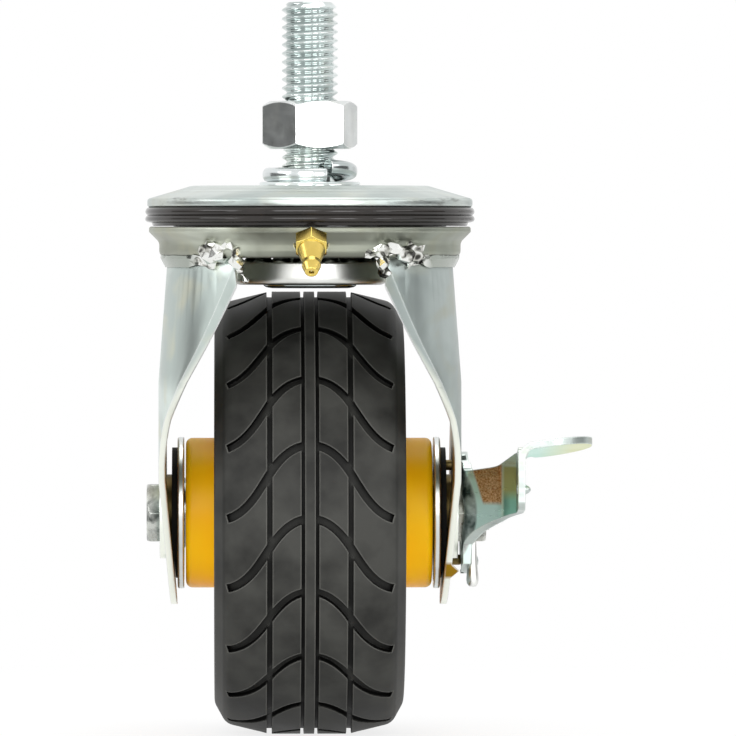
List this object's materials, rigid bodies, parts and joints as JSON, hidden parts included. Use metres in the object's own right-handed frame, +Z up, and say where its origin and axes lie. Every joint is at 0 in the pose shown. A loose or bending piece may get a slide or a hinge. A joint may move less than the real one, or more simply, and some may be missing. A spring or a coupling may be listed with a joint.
{
  "type": "braked swivel caster with threaded stem",
  "caption": "Swivel caster with a threaded stem, ball-race top, twin-leg fork, treaded rubber tyre on a moulded core, and a side foot brake that presses a disc on the hub.",
  "frame": {"origin": "on the stem axis, at the top face of the jam nut, where the frame above seats", "axes": "+Z up along the stem; X is parallel to the wheel's axle, with the brake on +X; the wheel trails towards +Y"},
  "size_m": [0.1015, 0.1288, 0.167],
  "materials": {
    "zinc_steel": "clear zinc plate, satin with soft streaks",
    "bright_zinc": "bright zinc plate",
    "warm_zinc": "zinc plate with a warm grey cast",
    "weld": "rough plated weld",
    "plain_steel": "turned steel",
    "ball_steel": "ground and polished",
    "brass": "machined brass",
    "seal_rubber": "smooth black rubber with a soft gloss",
    "tyre": "matt charcoal rubber",
    "core": "moulded amber yellow plastic"
  },
  "bodies": {
    "mount_plate": {"threaded_stem": "zinc_steel", "lock_washer": "bright_zinc", "top_plate": "zinc_steel", "dust_seal": "seal_rubber", "lower_race_cup": "zinc_steel"},
    "jam_nut": {"stem_nut": "bright_zinc"},
    "fork": {"fork_crown": "warm_zinc", "fork_leg_left": "zinc_steel", "fork_leg_right": "zinc_steel", "weld_beads": "weld", "upper_race_balls": "ball_steel", "lower_race_balls": "ball_steel", "grease_nipple": "brass", "nipple_ball": "ball_steel", "axle_sleeve": "plain_steel", "bearing_spacer": "plain_steel", "thread_guard": "bright_zinc", "guard_bush": "plain_steel", "brake_bush": "plain_steel", "axle_bolt": "zinc_steel", "axle_nut": "zinc_steel", "bearing_inner_left": "ball_steel", "bearing_inner_right": "ball_steel"},
    "wheel": {"tyre": "tyre", "wheel_core": "core", "bearing_outer_left": "ball_steel", "bearing_balls_left": "ball_steel", "bearing_outer_right": "ball_steel", "bearing_balls_right": "ball_steel"},
    "brake_pedal": {"brake_lever": "zinc_steel", "lever_rivets": "zinc_steel", "detent_wire": "bright_zinc"},
    "pressure_disc": {"brake_disc": "bright_zinc", "brake_push_pins": "plain_steel"}
  },
  "joints": [
    {"name": "swivel", "type": "hinge", "parent": "mount_plate", "child": "fork", "pos_m": [0, 0, -0.035], "axis": [0, 0, 1], "continuous": true},
    {"name": "jam_nut_turn", "type": "hinge", "parent": "mount_plate", "child": "jam_nut", "pos_m": [0, 0, -0.005], "axis": [0, 0, 1], "continuous": true},
    {"name": "wheel_spin", "type": "hinge", "parent": "fork", "child": "wheel", "pos_m": [0, 0.035, -0.094], "axis": [1, 0, 0], "continuous": true},
    {"name": "brake_lever_turn", "type": "hinge", "parent": "fork", "child": "brake_pedal", "pos_m": [0, 0.035, -0.094], "axis": [1, 0, 0], "range_deg": [0, 35]},
    {"name": "brake_disc_slide", "type": "slide", "parent": "fork", "child": "pressure_disc", "axis": [-1, 0, 0], "range_m": [0, 0.0004]}
  ],
  "couplings": [
    {"joint": "brake_disc_slide", "follows": "brake_lever_turn", "m_per_rad": 0.0006548}
  ]
}
